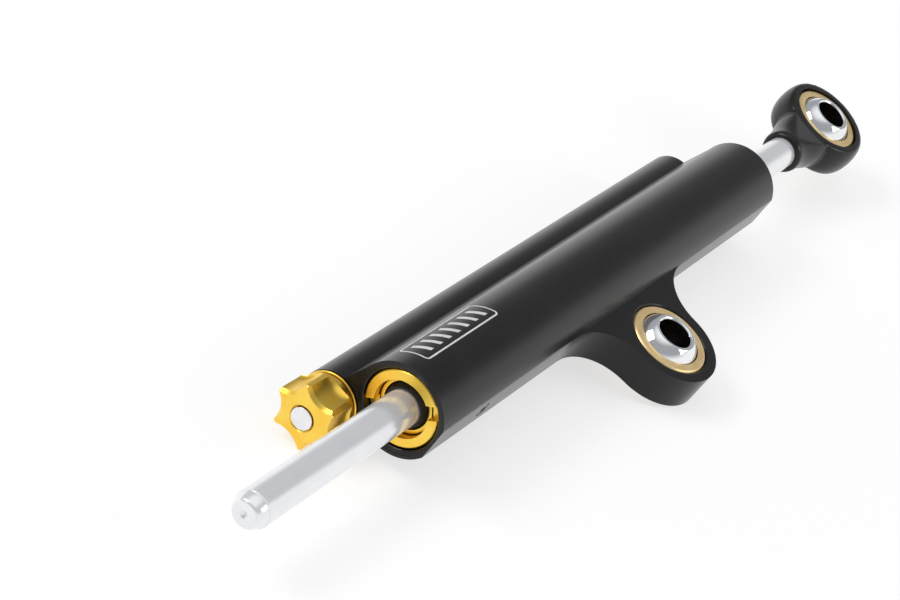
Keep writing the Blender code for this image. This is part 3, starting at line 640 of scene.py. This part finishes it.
class Body(Assembly):
    """The machined body: main tube, side tube, web, flat strip and lug."""

    radius = 13.0 * MM
    side_radius = 8.3 * MM
    strip_half = 5.13 * MM
    bore = 10.9 * MM
    deep_bore = 9.4 * MM
    deep_from = 42.0 * MM
    side_bore = 6.5 * MM
    web_angle = math.radians(20.0)
    crease_angle = math.radians(85.7)
    lug_tip = 15.0 * MM
    lug_half = 5.3 * MM
    race_hole = 11.9 * MM
    plug_x = 24.0 * MM
    plug_pocket = 2.3 * MM

    def __init__(self, axes: DamperAxes) -> None:
        """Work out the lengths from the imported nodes."""
        super().__init__(axes)
        self.length = axes.inner("body")[1]
        self.side_length = axes.inner("reservoir_end_plug")[1] + 0.4 * MM
        self.strip_y = -math.sqrt(self.radius ** 2 - self.strip_half ** 2)
        self.lean = math.atan2(axes.side.z, axes.side.y)
        self.web_low = 2.0 * self.lean - self.web_angle

    def main_arcs(self) -> list[Flat]:
        """The main tube's outline between the two ends of the web."""
        facet = math.asin(self.strip_half / self.radius)
        outline = arc(self.radius, self.web_angle, math.pi - facet, 60)
        return outline + arc(self.radius, math.pi + facet, math.tau + self.web_low, 24)

    def section(self) -> list[Flat]:
        """The outline of both tubes and the web across the damper."""
        low = 2.0 * (math.pi + self.lean) - self.crease_angle
        centre = (self.axes.side.y, self.axes.side.z)
        return self.main_arcs() + arc(self.side_radius, low, math.tau + self.crease_angle, 72, centre)

    def nose(self) -> list[Flat]:
        """The outline of the main tube alone."""
        return self.main_arcs() + arc(self.radius, self.web_low, self.web_angle, 36)[1:-1]

    def lug_outline(self) -> list[Flat]:
        """The outline of the lug, with its root running into the flat strip."""
        x, y = self.axes.lug.x, self.axes.lug.y
        root = self.strip_y - y
        reach = self.lug_tip + root
        inside = self.strip_y + 2.0 * MM
        outline = arc(root, math.pi / 2, 0.0, 24, (x - reach, y))
        outline += arc(self.lug_tip, math.pi, math.tau, 64, (x, y))[1:]
        outline += arc(root, math.pi, math.pi / 2, 24, (x + reach, y))[1:]
        return outline + [(x + reach, inside), (x - reach, inside)]

    def mouth(self) -> list[Flat]:
        """The bore from end to end, with two fine steps in each mouth."""
        steps = [(-2.0 * MM, 12.15 * MM), (0.22 * MM, 12.15 * MM), (0.22 * MM, 11.55 * MM),
                 (0.45 * MM, 11.50 * MM), (0.45 * MM, 11.15 * MM), (0.75 * MM, self.bore),
                 (self.deep_from, self.bore), (self.deep_from, self.deep_bore)]
        return steps + [(self.length - x, r) for x, r in reversed(steps)]

    def build(self) -> None:
        """Machine the body out of one extrusion."""
        across = self.axes.section()
        body = prism("machined_body", self.section(), 0.0, self.side_length, across)
        nose = prism("nose", self.nose(), self.side_length - 4.0 * MM, self.length, across)
        work(body, nose, Cut.JOIN)
        lug = prism("lug", self.lug_outline(), -self.lug_half, self.lug_half, self.axes.at())
        work(body, lug, Cut.JOIN)
        centre = self.axes.lug
        chamfer = 0.35 * MM
        hole = [(-9.0 * MM, self.race_hole + 4.0 * MM),
                (-self.lug_half, self.race_hole + chamfer), (-self.lug_half + chamfer, self.race_hole),
                (self.lug_half - chamfer, self.race_hole), (self.lug_half, self.race_hole + chamfer),
                (9.0 * MM, self.race_hole + 4.0 * MM)]
        side_line = [(-2.0 * MM, self.side_bore), (self.side_length + 2.0 * MM, self.side_bore)]
        strip = self.axes.at(self.plug_x, self.strip_y) @ Matrix.Rotation(math.pi / 2, 4, "X")
        for line, place in ((self.mouth(), self.axes.on_x()),
                            (side_line, self.axes.on_side()),
                            (hole, self.axes.at(*centre)),
                            ([(-1.0 * MM, self.plug_pocket), (1.0 * MM, self.plug_pocket)], strip)):
            bore(body, line, place)
        break_edges(body, 0.22 * MM)
        self.add(body, "housing", BLACK, self.axes.on_x(), "body", weigh=True)

        head = eased([(-0.65 * MM, 2.0 * MM), (-0.06 * MM, 2.0 * MM), (-0.05 * MM, 1.1 * MM)],
                     0.15 * MM, closed=False)
        plug = lathe("flush_plug", [(-0.65 * MM, 0.0), *head, (-0.3 * MM, 0.95 * MM), (-0.35 * MM, 0.0)],
                     strip, 48)
        self.add(plug, "housing", BLACK, strip, "bleed_screw")


class Badge(Assembly):
    """A plain laser-marked panel on the main tube: a rounded frame with slanted bars."""

    start = 6.2 * MM
    length = 34.4 * MM
    middle = math.radians(55.0)
    half_width = 4.5 * MM
    corner = 1.3 * MM
    line = 0.5 * MM
    bars = 7
    bar_width = 1.5 * MM
    bar_half = 2.5 * MM
    slant = math.radians(18.0)
    stand = 0.02 * MM
    depth = 0.04 * MM

    def wrap(self, x: float, across: float) -> Vector:
        """A point of the panel, on the main tube."""
        radius = Body.radius + self.stand
        y, z = polar(radius, self.middle + across / radius)
        return Vector((x, y, z))

    def loop(self, inset: float) -> list[Flat]:
        """The panel's rounded outline, drawn in by inset, with its straight sides in short runs."""
        half = self.half_width - inset
        radius = self.corner - inset
        low, high = self.start + inset, self.start + self.length - inset
        corners = ((high - radius, half - radius, 0.0), (low + radius, half - radius, math.pi / 2),
                   (low + radius, radius - half, math.pi), (high - radius, radius - half, 1.5 * math.pi))
        found: list[Flat] = []
        for index, (x, across, turn) in enumerate(corners):
            found += arc(radius, turn, turn + math.pi / 2, 6, (x, across))
            after = corners[(index + 1) % 4]
            start = Vector(found[-1])
            end = Vector(polar(radius, after[2], after[:2]))
            found += [tuple(start.lerp(end, step / 16)) for step in range(1, 16)]
        return found

    def build(self) -> None:
        """Lay the frame and the bars on the tube."""
        shape = bmesh.new()
        outer = [shape.verts.new(self.wrap(*point)) for point in self.loop(0.0)]
        inner = [shape.verts.new(self.wrap(*point)) for point in self.loop(self.line)]
        for index in range(len(outer)):
            after = (index + 1) % len(outer)
            shape.faces.new((outer[index], outer[after], inner[after], inner[index]))
        gap = self.length / (self.bars + 1)
        for bar in range(self.bars):
            centre = self.start + gap * (bar + 1)
            rows = []
            for row in range(9):
                across = self.bar_half * (row / 4 - 1.0)
                lean = across * math.tan(self.slant)
                rows.append([shape.verts.new(self.wrap(centre + lean + side * self.bar_width / 2, across))
                             for side in (-1, 1)])
            for low, high in zip(rows, rows[1:]):
                shape.faces.new((low[0], low[1], high[1], high[0]))
        badge = as_object("marked_panel", shape, self.axes.matrix)
        thicken = badge.modifiers.new("depth", "SOLIDIFY")
        thicken.thickness = self.depth
        thicken.offset = -1.0
        settle(badge)
        self.add(badge, "housing", MARKING, self.axes.on_x())


class TubeEnd(Assembly):
    """End ring, gland and wiper at one end of the main tube."""

    ring_radius = 10.6 * MM
    ring_bore = 7.8 * MM
    slot_width = 3.7 * MM
    slot_depth = 2.8 * MM
    slot_angle = math.radians(138.0)
    rod_fit = 5.15 * MM
    rod_hole = 5.3 * MM
    wiper_seat = 6.5 * MM
    wiper_stop = 8.0 * MM
    seal_from = 12.0 * MM
    seal_to = 16.0 * MM
    seal_seat = 8.0 * MM
    bush_from = 20.0 * MM
    bush_seat = 6.8 * MM
    groove = 28.2 * MM
    groove_half = 1.2 * MM
    groove_radius = 9.2 * MM

    def __init__(self, axes: DamperAxes, prefix: str) -> None:
        """Choose the end.

        Args:
            axes: the damper's axes.
            prefix: near or far.
        """
        super().__init__(axes)
        self.prefix = prefix
        self.far = prefix == "far"
        self.length = axes.inner("body")[1]

    def line(self, points: Iterable[Flat]) -> list[Flat]:
        """Profile points at this end, from points of the near end."""
        return [(self.length - x, r) if self.far else (x, r) for x, r in points]

    def build(self) -> None:
        """Turn the three pieces that show at the end."""
        place = self.axes.on_x()
        low, high = self.axes.inner(self.prefix + "_end_ring")
        start = self.length - high if self.far else low
        stop = start + high - low
        step = 0.9 * MM
        ring_line = [(start, self.ring_radius - 0.5 * MM), (start + 0.5 * MM, self.ring_radius),
                     (stop, self.ring_radius), (stop, self.ring_bore), (start, self.ring_bore)]
        ring = lathe(self.prefix + "_lock_ring", self.line(ring_line), place)
        half = (self.slot_width / 2, 3.0 * self.ring_radius)
        bar = [(half[0] * a, half[1] * b) for a, b in ((-1, -1), (1, -1), (1, 1), (-1, 1))]
        depths = sorted(x for x, _ in self.line([(start - step, 0.0), (start + self.slot_depth, 0.0)]))
        turn = self.axes.section() @ Matrix.Rotation(self.slot_angle - math.pi / 2, 4, "Z")
        work(ring, prism("slot", bar, *depths, turn), Cut.REMOVE)
        break_edges(ring, 0.12 * MM)
        self.add(ring, "housing", GOLD, place, self.prefix + "_end_ring", weigh=True)

        hub = self.ring_bore - 0.3 * MM
        face = 3.3 * MM
        end = self.axes.inner("near_gland")[1]
        shoulder = stop + 0.3 * MM
        rim, hole = self.ring_radius, self.rod_hole
        low, high = self.groove - self.groove_half, self.groove + self.groove_half
        gland_line = [(face, self.wiper_seat), (face, hub), (shoulder, hub), (shoulder, rim),
                      (low, rim), (low, self.groove_radius), (high, self.groove_radius), (high, rim),
                      (end, rim), (end, self.bush_seat), (self.bush_from, self.bush_seat),
                      (self.bush_from, hole), (self.seal_to, hole), (self.seal_to, self.seal_seat),
                      (self.seal_from, self.seal_seat), (self.seal_from, hole),
                      (self.wiper_stop, hole), (self.wiper_stop, self.wiper_seat)]
        gland = lathe(self.prefix + "_seal_head", eased(self.line(gland_line), 0.15 * MM, steps=2), place)
        self.add(gland, "housing", GOLD, place, self.prefix + "_gland")

        lip = self.axes.inner("near_wiper")[0]
        back = 7.7 * MM
        wiper_line = [(lip, self.rod_fit), (lip, self.rod_fit + 0.25 * MM), (lip + 0.9 * MM, 5.75 * MM),
                      (3.0 * MM, 5.9 * MM), (3.6 * MM, 6.2 * MM), (back, 6.2 * MM), (back, self.rod_fit)]
        wiper = lathe(self.prefix + "_rod_wiper", eased(self.line(wiper_line), 0.12 * MM), place)
        self.add(wiper, "housing", RUBBER, place, self.prefix + "_wiper")


class Bearing(Assembly):
    """Race and ball of a spherical bearing; the liner between them is not turned here."""

    race_radius = 11.6 * MM
    race_half = 5.3 * MM
    ball_radius = 10.1 * MM
    ball_half = 8.0 * MM
    bore = 4.95 * MM
    lip_gap = 0.3 * MM

    def __init__(self, axes: DamperAxes, prefix: str, place: Matrix, bodies: Sequence[str]) -> None:
        """Choose the bearing.

        Args:
            axes: the damper's axes.
            prefix: lug or rod_end.
            place: its centre, with the local Z along its bore.
            bodies: the bodies that the race and the ball move with.
        """
        super().__init__(axes)
        self.prefix = prefix
        self.place = place
        self.bodies = bodies

    def build(self) -> None:
        """Turn the race and the ball."""
        seat = self.ball_radius + self.lip_gap
        groove = self.ball_radius + 0.65 * MM
        lip_from = 4.4 * MM
        half, radius, edge = self.race_half, self.race_radius, 0.45 * MM
        outside = [(-half, radius - edge), (-half + edge, radius),
                   (half - edge, radius), (half, radius - edge)]
        inside = [(h, math.sqrt(r ** 2 - h ** 2)) for h, r in
                  ((half, seat), (lip_from, seat), (lip_from, groove), (0.0, groove),
                   (-lip_from, groove), (-lip_from, seat), (-half, seat))]
        race = lathe(self.prefix + "_outer_race", eased(outside + inside, 0.12 * MM, steps=2), self.place)
        self.add(race, self.bodies[0], BRONZE, self.place, self.prefix + "_race")

        limit = math.asin(self.ball_half / self.ball_radius)
        dome = [(self.ball_radius * math.sin(a), self.ball_radius * math.cos(a))
                for a in (limit * (step / 24 - 1.0) for step in range(49))]
        rim = 0.5 * MM
        eye = [(self.ball_half, self.bore + rim), (self.ball_half - rim, self.bore),
               (rim - self.ball_half, self.bore), (-self.ball_half, self.bore + rim)]
        ball = lathe(self.prefix + "_bearing_ball", eased(dome + eye, 0.15 * MM), self.place)
        self.add(ball, self.bodies[1], CHROME, self.place, self.prefix + "_ball", sharp=24.0)
        # The faces inside the ball's bore get the dark steel finish, which is partly painted shade for the bore's
        # shadowed inside.
        ball.data.materials.append(DARK_STEEL_AND_BORE_SHADE.paint(self.prefix + "_ball_bore", self.axes.spin(self.place)))
        inverse = self.place.inverted()
        for face in ball.data.polygons:
            face.material_index = int((inverse @ face.center).xy.length < self.bore + 0.1 * MM)


class Rod(Assembly):
    """The ground and chromed through rod."""

    radius = 5.0 * MM
    groove = 4.2 * MM
    centre_mark = 1.15 * MM
    centre_depth = 0.9 * MM
    tip_length = 3.4 * MM
    tip_step = 0.3 * MM

    def build(self) -> None:
        """Turn the rod with its tip, clip grooves and threaded end."""
        low, high = self.axes.inner("piston_rod")
        rod = self.radius
        tip_end = low + self.tip_length
        tip = [(low + self.centre_depth, 0.0), (low + 0.75 * MM, 0.35 * MM), (low, self.centre_mark),
               (low, rod - 1.7 * MM), (low + 0.45 * MM, rod - 1.2 * MM), (low + 2.3 * MM, rod - 0.42 * MM),
               (tip_end - 0.1 * MM, rod - self.tip_step), (tip_end, rod)]
        line = eased(tip, 0.2 * MM, closed=False)
        for clip in ("near_piston_clip", "far_piston_clip"):
            start, end = self.axes.inner(clip)
            start, end = start - 0.2 * MM, end + 0.2 * MM
            line += [(start, rod), (start, self.groove), (end, self.groove), (end, rod)]
        line += [(high - 1.0 * MM, rod), (high, rod - 1.0 * MM), (high, 0.0)]
        place = self.axes.on_x()
        piece = lathe("chromed_rod", line, place)
        self.add(piece, "rod", ROD_CHROME, place, "piston_rod")


class RodEnd(Assembly):
    """The black rod end: a barrel head blended into a round neck."""

    neck_radius = 6.8 * MM
    flare = 9.2 * MM
    radius = 15.5 * MM
    face_radius = 13.9 * MM
    half = 6.0 * MM
    race_hole = 11.9 * MM
    socket = 5.3 * MM
    grid = 0.32 * MM

    def place(self) -> Matrix:
        """The centre of the head, with the local Z along its bearing's axis."""
        turn = math.atan2(-self.axes.rod_end_up.y, self.axes.rod_end_up.z)
        return self.axes.at(self.axes.rod_end.x) @ Matrix.Rotation(turn, 4, "X")

    def flatten(self, neck: bpy.types.Object, place: Matrix, start: float, end: float) -> None:
        """Keep the flared neck between the planes of the head's faces.

        Args:
            neck: the neck.
            place: the head's place.
            start: where the flare starts along the damper's X.
            end: where it meets the head.
        """
        inverse = place.inverted()
        middle = self.axes.rod_end.x
        for vert in neck.data.vertices:
            point = inverse @ vert.co
            share = min(1.0, max(0.0, (point.x + middle - start) / (end - start)))
            limit = self.neck_radius + (self.half - 0.3 * MM - self.neck_radius) * share
            point.z = max(-limit, min(limit, point.z))
            vert.co = place @ point

    def build(self) -> None:
        """Join the head and neck, blend them, and bore them."""
        place = self.place()
        shoulder = self.half - 1.5 * MM
        upper = [(0.0, self.radius), (2.6 * MM, self.radius - 0.2 * MM),
                 (shoulder, self.radius - 0.7 * MM), (shoulder + 0.9 * MM, self.radius - 1.15 * MM),
                 (self.half, self.face_radius)]
        barrel = [(-h, r) for h, r in reversed(upper[1:])] + upper
        head = lathe("blended_rod_end", solid(barrel), place, 128)
        start = self.axes.inner("rod_end_head")[0]
        middle = self.axes.rod_end.x
        root = middle - 11.5 * MM
        neck = [(start, self.neck_radius - 1.0 * MM), (start + 0.6 * MM, self.neck_radius - 0.25 * MM),
                (start + 1.6 * MM, self.neck_radius)]
        bend = start + 3.0 * MM
        for step in range(13):
            share = step / 12
            rise = share ** 2 * (3.0 - 2.0 * share)
            out = self.neck_radius + (self.flare - self.neck_radius) * rise
            neck.append((bend + (root - bend) * share, out))
        neck_piece = lathe("neck", solid(neck), self.axes.on_x())
        self.flatten(neck_piece, place, bend, root)
        work(head, neck_piece, Cut.JOIN)
        even = head.modifiers.new("even", "REMESH")
        even.mode = "VOXEL"
        even.voxel_size = self.grid
        blend = head.modifiers.new("blend", "SMOOTH")
        blend.factor = 0.5
        blend.iterations = 22
        settle(head)
        hole = [(-9.0 * MM, self.race_hole), (9.0 * MM, self.race_hole)]
        bore(head, hole, place)
        socket_end = self.axes.inner("piston_rod")[1] + 0.3 * MM
        socket = [(start - 2.0 * MM, self.socket), (socket_end, self.socket)]
        bore(head, socket, self.axes.on_x())
        self.add(head, "rod", BLACK, place, "rod_end_head", sharp=40.0)


class Knob(Assembly):
    """The fluted gold knob with its cap and grub screw; the bush behind it is turned with the side tube."""

    radius = 9.2 * MM
    cap_radius = 3.1 * MM
    flange = 1.8 * MM
    flange_radius = 7.9 * MM
    flutes = 6
    first_flute = math.radians(35.0)
    flute_radius = 7.0 * MM
    flute_bottom = 7.1 * MM
    flute_chamfer = 0.75 * MM
    run_out = 3.0 * MM
    grub_from_back = 3.9 * MM
    grub_thread = 1.3 * MM
    shaft = 2.5 * MM
    fit = 0.3 * MM
    rim_edge = 0.3 * MM
    dish_radius = 5.4 * MM
    well_depth = 1.7 * MM

    def build(self) -> None:
        """Turn the knob, scoop its flutes and fit its cap and screw."""
        side = self.axes.side
        place = self.axes.on_side()
        front, back = self.axes.inner("adjuster_knob")
        radius, scoop_radius = self.radius, self.flute_radius
        flange = back - self.flange
        well = front + self.well_depth
        seat = self.cap_radius + self.fit
        shaft_hole = self.shaft + self.fit
        step = 0.25 * MM
        line = [(front + 0.35 * MM, seat), (front + 0.05 * MM, seat + 0.3 * MM),
                (front + 0.05 * MM, seat + 0.8 * MM), (front + 0.30 * MM, self.dish_radius),
                (front + 0.45 * MM, radius - self.rim_edge), (front + 0.75 * MM, radius),
                (flange - 0.6 * MM, radius - 0.1 * MM), (flange, self.flange_radius),
                (back - step, self.flange_radius), (back, self.flange_radius - step),
                (back, shaft_hole), (well, shaft_hole), (well, seat)]
        knob = lathe("fluted_knob", line, place, 144)
        ahead, past = 2.0 * MM, 0.5 * MM
        rise = self.flange_radius - self.flute_bottom
        bottom = [(0.0, 0.0), (0.35, 0.06), (0.6, 0.22), (0.8, 0.5), (1.0, 1.0)]
        dished = front + 0.5 * MM
        scoop = [(dished - ahead, scoop_radius + self.flute_chamfer + ahead),
                 (dished + self.flute_chamfer, scoop_radius)]
        scoop += [(flange - self.run_out * (1.0 - share), scoop_radius - rise * lift)
                  for share, lift in bottom]
        scoop.append((flange + past, scoop_radius - rise * (1.0 + 2.5 * past / self.run_out)))
        for flute in range(self.flutes):
            angle = self.first_flute + math.tau * flute / self.flutes
            y, z = polar(self.flute_bottom + scoop_radius, angle, (side.y, side.z))
            bore(knob, scoop, self.axes.on_x(0.0, y, z), 72)
        grub_angle = self.first_flute + 2.0 * math.tau / self.flutes
        grub = self.axes.at(back - self.grub_from_back, side.y, side.z)
        grub = grub @ Matrix.Rotation(grub_angle + math.pi / 2, 4, "X")
        bore(knob, [(2.0 * MM, self.grub_thread), (12.0 * MM, self.grub_thread)], grub, 32)
        break_edges(knob, 0.16 * MM, 3)
        self.add(knob, "knob", GOLD, place, "adjuster_knob", weigh=True)

        top = [(5.6 * MM, 1.0 * MM), (5.6 * MM, 0.55 * MM), (4.4 * MM, 0.55 * MM), (4.4 * MM, 0.0)]
        screw = lathe("small_grub_screw", eased([(2.9 * MM, 0.0), (2.9 * MM, 1.0 * MM), *top], 0.08 * MM,
                                                closed=False), grub, 36)
        self.add(screw, "knob", STEEL, grub, "knob_grub_screw")

        low, high = self.axes.inner("knob_cap")
        face = [(high, 0.0), (high, self.cap_radius), (low + 0.12 * MM, self.cap_radius),
                (low, self.cap_radius - 0.3 * MM), (low + 0.05 * MM, self.cap_radius - 0.55 * MM),
                (low, 0.0)]
        cap = lathe("cap_disc", eased(face, 0.12 * MM, closed=False), place)
        self.add(cap, "knob", ALUMINIUM, place, "knob_cap")


class SideTube(Assembly):
    """The turned pieces that close the side tube at its two ends."""

    bore = 6.2 * MM
    rim = 8.2 * MM
    shaft = 2.8 * MM

    def build(self) -> None:
        """Turn the adjuster bush and the end plug."""
        place = self.axes.on_side()
        start, end = self.axes.inner("adjuster_bush")
        line = [(start, self.rim - 0.2 * MM), (start + 0.2 * MM, self.rim), (start + 0.5 * MM, self.rim),
                (start + 0.5 * MM, self.bore), (4.0 * MM, self.bore), (4.0 * MM, 5.2 * MM),
                (6.0 * MM, 5.2 * MM), (6.0 * MM, self.bore), (end, self.bore), (end, self.shaft),
                (start, self.shaft)]
        bush = lathe("knob_bush", eased(line, 0.1 * MM), place)
        self.add(bush, "housing", GOLD, place, "adjuster_bush")

        low, high = self.axes.inner("reservoir_end_plug")
        groove = low + 6.9 * MM
        line = [(low, self.bore), (groove, self.bore), (groove, 5.0 * MM), (groove + 2.4 * MM, 5.0 * MM),
                (groove + 2.4 * MM, self.bore), (high - 0.5 * MM, self.bore), (high, self.bore - 0.5 * MM)]
        plug = lathe("end_plug", solid(line), place)
        socket = [(high - 4.1 * MM, 3.2 * MM), (high + 2.0 * MM, 3.2 * MM)]
        bore(plug, socket, place, 6)
        break_edges(plug, 0.12 * MM)
        self.add(plug, "housing", GOLD, place, "reservoir_end_plug", weigh=True)


class Insides(Assembly):
    """The CAD pieces that keep their own shape: seals, springs, piston and adjuster parts."""

    def build(self) -> None:
        """Give each piece that is still shown the finish of its slot."""
        slots = {row["node"]: row["material_slot"] for row in frame["record"]["subparts"]}
        for name, node in sorted(frame["nodes"].items()):
            if node.hide_render:
                continue
            in_side = name.startswith(("adjuster", "detent", "metering", "reservoir"))
            place = self.axes.on_side() if in_side else self.axes.on_x()
            if name == "lug_liner":
                place = self.axes.at(*self.axes.lug)
            material = FINISHES[slots[name]].paint(name, self.axes.spin(place))
            for slot in node.material_slots:
                slot.material = material
            self.pieces.append(name)


# -------- studio


@dataclass(frozen=True)
class Softbox:
    """A soft rectangular light.

    Args:
        name: its name.
        place: where it stands, in metres.
        size: its width and height.
        watts: its power.
    """

    name: str
    place: tuple[float, float, float]
    size: Flat
    watts: float

    def build(self, target: Vector) -> None:
        """Hang the light and turn it to the target."""
        light = bpy.data.lights.new(self.name, "AREA")
        light.shape = "RECTANGLE"
        light.size, light.size_y = self.size
        light.energy = self.watts
        lamp = bpy.data.objects.new(self.name, light)
        lamp.location = self.place
        lamp.rotation_euler = (target - lamp.location).to_track_quat("-Z", "Y").to_euler()
        bpy.context.scene.collection.objects.link(lamp)


class Studio:
    """Camera, pale floor and soft light."""

    lens = 100.10
    eye = (-467.77 * MM, -88.22 * MM, 385.69 * MM)
    aim = (46.32 * MM, 16.76 * MM, 0.0)
    up = (0.3270, 0.7061, 0.6281)
    floor_size = 12.0
    floor_colour = (0.36, 0.36, 0.36)
    floor_glow = 1.90
    floor_drift = 0.985
    dim = (0.30, 0.31, 0.33)
    walls_fade = (0.12, 0.45)
    overhead = (0.72, 0.98)

    def __init__(self, axes: DamperAxes) -> None:
        """Keep the damper's axes."""
        self.axes = axes

    def camera(self) -> None:
        """Place the camera in the damper's axes and make it the scene's."""
        eye, aim = Vector(self.eye), Vector(self.aim)
        back = (eye - aim).normalized()
        right = Vector(self.up).cross(back).normalized()
        turn = Matrix((right, back.cross(right), back)).transposed().to_4x4()
        data = bpy.data.cameras.new("camera")
        data.lens = self.lens
        data.clip_start = 10 * MM
        camera = bpy.data.objects.new("camera", data)
        camera.matrix_world = self.axes.matrix @ Matrix.Translation(eye) @ turn
        bpy.context.scene.collection.objects.link(camera)
        bpy.context.scene.camera = camera

    def floor(self) -> None:
        """Lay the pale floor that the damper rests on."""
        half = self.floor_size / 2
        shape = bmesh.new()
        corners = ((-half, -half), (half, -half), (half, half), (-half, half))
        shape.faces.new([shape.verts.new((x, y, 0.0)) for x, y in corners])
        floor = as_object("floor", shape, Matrix.Identity(4))
        material = bpy.data.materials.new("pale_floor")
        material.use_nodes = True
        shader = Shader(material.node_tree)
        mottle = shader.noise(shader.place(), 0.4).between(0.3, 0.7)
        drifted = tuple(self.floor_drift * c for c in self.floor_colour)
        tone = shader.blend(mottle, self.floor_colour, drifted)
        shader.surface({"Base Color": tone, "Roughness": 0.9, "Specular IOR Level": 0.0,
                        "Emission Color": tone, "Emission Strength": self.floor_glow})
        floor.data.materials.append(material)

    def sky(self) -> None:
        """White walls, a dim band high up and white overhead; the camera sees plain white."""
        world = bpy.data.worlds.new("studio")
        world.use_nodes = True
        bpy.context.scene.world = world
        shader = Shader(world.node_tree)
        direction = shader.node("ShaderNodeTexCoord", output=0)
        height = shader.node("ShaderNodeSeparateXYZ", None, {0: direction}, output=2)
        white = (1.0, 1.0, 1.0)
        ceiling = shader.blend(height.between(*self.overhead), self.dim, white)
        walls = shader.blend(height.between(*self.walls_fade), white, ceiling)
        seen = shader.node("ShaderNodeLightPath", output=0)
        light = shader.node("ShaderNodeBackground", None,
                            {"Color": shader.blend(seen, walls, white), "Strength": 1.0})
        shader.node("ShaderNodeOutputWorld", None, {"Surface": light})

    def build(self) -> None:
        """Set up the whole studio."""
        self.camera()
        self.floor()
        self.sky()
        bpy.context.scene.view_settings.view_transform = "Standard"
        target = Vector((0.0, 0.0, 15 * MM))
        for softbox in (Softbox("key_light", (-0.6, 0.9, 1.1), (0.9, 0.5), 9.0),
                        Softbox("fill_light", (0.5, -1.2, 0.7), (0.9, 0.5), 5.0)):
            softbox.build(target)


def main() -> None:
    """Build the damper's pieces in order, then the studio."""
    logging.basicConfig(level=logging.INFO, format="%(name)s: %(message)s")
    axes = DamperAxes.from_frame()
    Studio(axes).build()
    rod_end = RodEnd(axes)
    assemblies: list[Assembly] = [
        Body(axes), Badge(axes), TubeEnd(axes, "near"), TubeEnd(axes, "far"),
        Bearing(axes, "lug", axes.at(*axes.lug), ("housing", "lug_bearing_ball")),
        Rod(axes), rod_end,
        Bearing(axes, "rod_end", rod_end.place(), ("rod", "rod_end_bearing_ball")),
        Knob(axes), SideTube(axes), Insides(axes),
    ]
    for assembly in assemblies:
        assembly.build()
        assembly.report()


if __name__ == "__main__":
    main()
